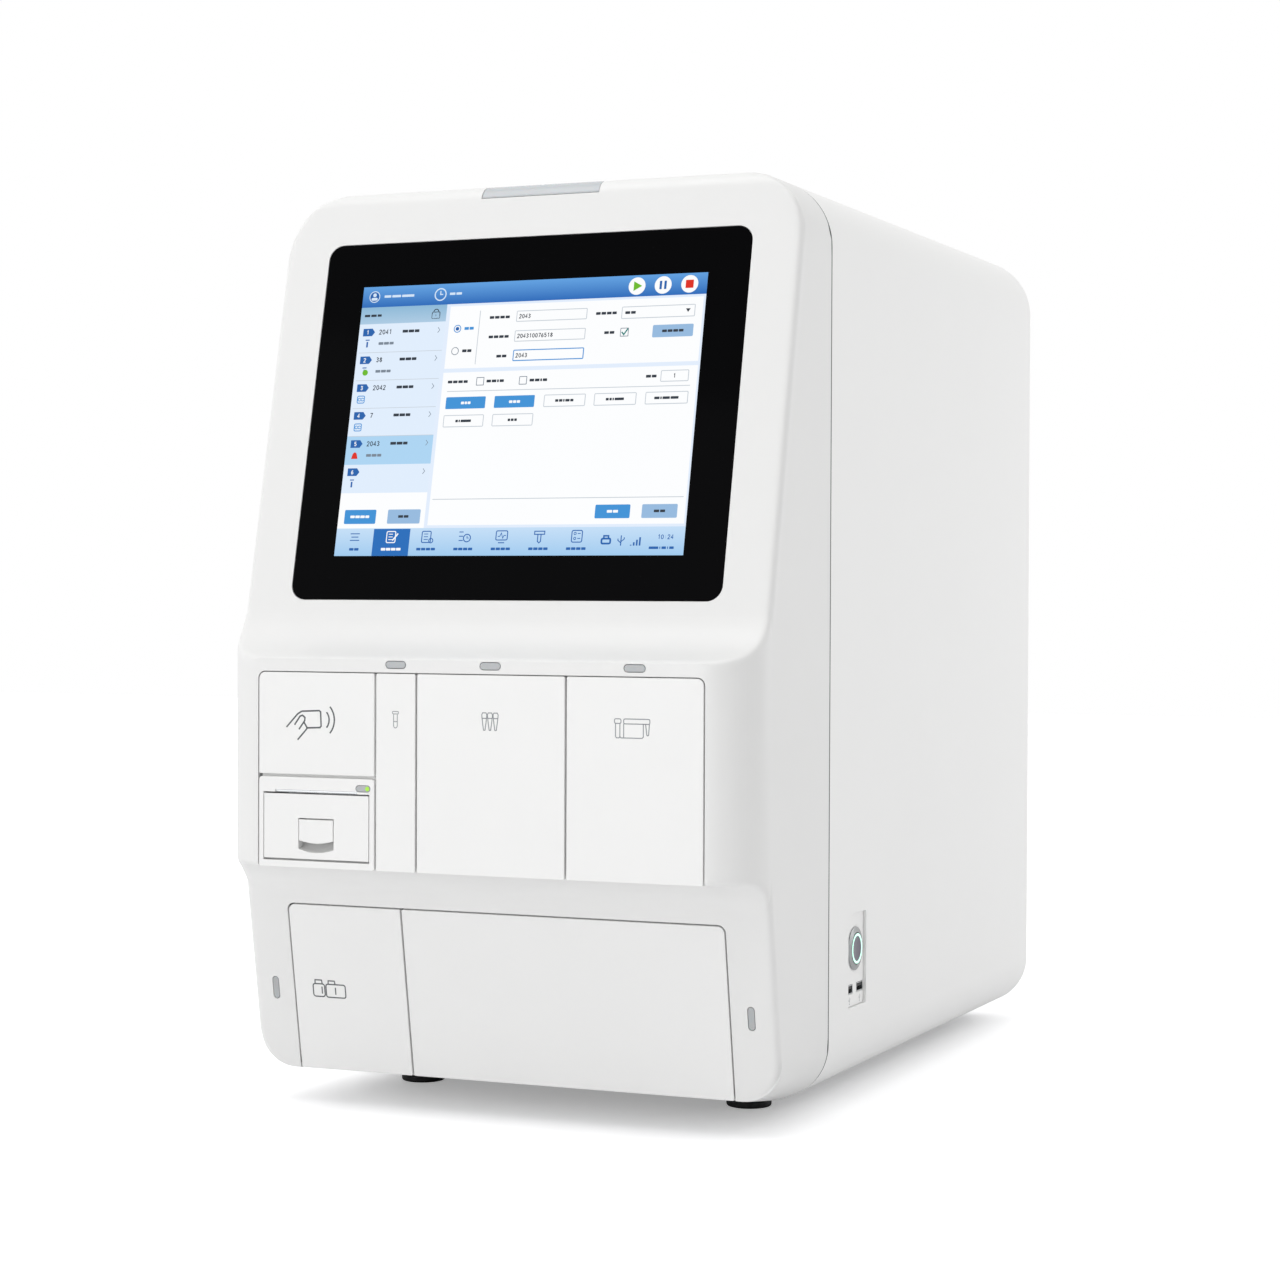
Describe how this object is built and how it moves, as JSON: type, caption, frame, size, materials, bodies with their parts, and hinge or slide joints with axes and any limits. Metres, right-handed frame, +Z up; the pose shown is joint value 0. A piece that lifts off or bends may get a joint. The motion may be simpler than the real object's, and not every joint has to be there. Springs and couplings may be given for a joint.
{
  "type": "immunoassay analyzer",
  "caption": "Benchtop immunoassay analyzer with a tilted touch screen, card reader, receipt printer, narrow loading drawers and wide supply drawers",
  "frame": {"origin": "on the bench under the middle of the outer box, at the underside of the feet", "axes": "+X to the right seen from the front, +Y towards the back, +Z up; the drawers and screen face -Y"},
  "size_m": [0.37, 0.6424, 0.606],
  "materials": {
    "front_shell": "fine satin white moulded plastic",
    "cover_shell": "fine-textured off-white powder paint",
    "panel_white": "satin white moulded plastic",
    "drawer_white": "satin white moulded plastic",
    "black_glass": "polished black cover glass with a lit display behind it",
    "lens_grey": "unlit grey indicator lens",
    "lamp_grey": "pale translucent lamp lens",
    "lit_green": "lit yellow-green button cap",
    "black_rubber": "matt black rubber",
    "tray_grey": "matt light grey moulded plastic",
    "dark_plastic": "matt dark grey moulded plastic",
    "sheet_steel": "plated sheet steel",
    "bright_metal": "machined bright metal",
    "board_green": "solder-masked circuit board",
    "paper": "plain thermal paper",
    "bottle_white": "natural white blow-moulded plastic",
    "tube_clear": "clear tube with a coloured cap"
  },
  "bodies": {
    "housing": {"front_fascia": "front_shell", "main_cover": "cover_shell", "rear_panel": "cover_shell", "base_plate": "sheet_steel", "foot_front_left": "black_rubber", "foot_front_right": "black_rubber", "foot_rear_left": "black_rubber", "foot_rear_right": "black_rubber", "screen_glass": "black_glass", "lcd_panel": "dark_plastic", "status_lamp": "lamp_grey", "sample_indicator": "lens_grey", "tip_indicator": "lens_grey", "reagent_indicator": "lens_grey", "bottle_indicator": "lens_grey", "waste_indicator": "lens_grey", "card_reader_panel": "panel_white", "card_reader_board": "board_green", "printer_bezel": "panel_white", "printer_frame": "dark_plastic", "print_head": "bright_metal", "chassis_frame": "sheet_steel", "chassis_deck": "sheet_steel", "chassis_floor": "sheet_steel", "port_plate": "cover_shell", "power_button_bezel": "bright_metal", "usb_sockets": "bright_metal", "power_inlet": "dark_plastic", "fan_housing": "dark_plastic", "gantry_beam": "bright_metal", "incubator_block": "sheet_steel", "reader_module": "dark_plastic", "power_supply": "sheet_steel", "main_board": "board_green"},
    "sample_drawer": {"sample_drawer_front": "drawer_white", "sample_drawer_rack": "tray_grey", "sample_tube_1": "tube_clear"},
    "tip_drawer": {"tip_drawer_front": "drawer_white", "tip_drawer_tray": "tray_grey", "tip_rack": "dark_plastic"},
    "reagent_drawer": {"reagent_drawer_front": "drawer_white", "reagent_drawer_tray": "tray_grey", "reagent_strip_1": "bottle_white", "reagent_strip_2": "bottle_white"},
    "bottle_drawer": {"bottle_drawer_front": "drawer_white", "bottle_drawer_tray": "tray_grey", "liquid_waste_bottle": "bottle_white", "wash_bottle": "bottle_white"},
    "waste_drawer": {"waste_drawer_front": "drawer_white", "waste_drawer_tray": "tray_grey", "waste_bin": "dark_plastic"},
    "lid": {"printer_lid": "panel_white"},
    "latch": {"printer_latch": "panel_white"},
    "platen": {"platen_roller": "black_rubber"},
    "roll": {"paper_roll": "paper"},
    "feed_key": {"feed_button": "lit_green"},
    "power_key": {"power_button": "bright_metal"},
    "rotor": {"fan_rotor": "dark_plastic"},
    "carriage": {"pipette_carriage": "sheet_steel"},
    "head": {"pipette_head": "dark_plastic"}
  },
  "joints": [
    {"name": "sample_drawer_slide", "type": "slide", "parent": "housing", "child": "sample_drawer", "axis": [0, -1, 0], "range_m": [0, 0.2]},
    {"name": "tip_drawer_slide", "type": "slide", "parent": "housing", "child": "tip_drawer", "axis": [0, -1, 0], "range_m": [0, 0.18]},
    {"name": "reagent_drawer_slide", "type": "slide", "parent": "housing", "child": "reagent_drawer", "axis": [0, -1, 0], "range_m": [0, 0.18]},
    {"name": "bottle_drawer_slide", "type": "slide", "parent": "housing", "child": "bottle_drawer", "axis": [0, -1, 0], "range_m": [0, 0.19]},
    {"name": "waste_drawer_slide", "type": "slide", "parent": "housing", "child": "waste_drawer", "axis": [0, -1, 0], "range_m": [0, 0.19]},
    {"name": "printer_lid_hinge", "type": "hinge", "parent": "housing", "child": "lid", "pos_m": [-0.11225, -0.31945, 0.169], "axis": [1, 0, 0], "range_deg": [0, 80]},
    {"name": "latch_pivot", "type": "hinge", "parent": "lid", "child": "latch", "pos_m": [-0.11225, -0.31925, 0.191], "axis": [-1, 0, 0], "range_deg": [0, 20], "stiffness_Nm_per_rad": 0.02},
    {"name": "platen_spin", "type": "hinge", "parent": "lid", "child": "platen", "pos_m": [-0.11225, -0.31125, 0.201], "axis": [1, 0, 0], "continuous": true},
    {"name": "paper_roll_spin", "type": "hinge", "parent": "housing", "child": "roll", "pos_m": [-0.11225, -0.29025, 0.1842], "axis": [1, 0, 0], "continuous": true},
    {"name": "feed_press", "type": "slide", "parent": "housing", "child": "feed_key", "axis": [0, 1, 0], "range_m": [0, 0.001], "stiffness_N_per_m": 400},
    {"name": "power_press", "type": "slide", "parent": "housing", "child": "power_key", "axis": [-1, 0, 0], "range_m": [0, 0.0015], "stiffness_N_per_m": 600},
    {"name": "fan_spin", "type": "hinge", "parent": "housing", "child": "rotor", "pos_m": [0.08, 0.304, 0.33], "axis": [0, 1, 0], "continuous": true},
    {"name": "carriage_traverse", "type": "slide", "parent": "housing", "child": "carriage", "axis": [1, 0, 0], "range_m": [-0.09, 0.09]},
    {"name": "head_drop", "type": "slide", "parent": "carriage", "child": "head", "axis": [0, 0, -1], "range_m": [0, 0.06]}
  ]
}
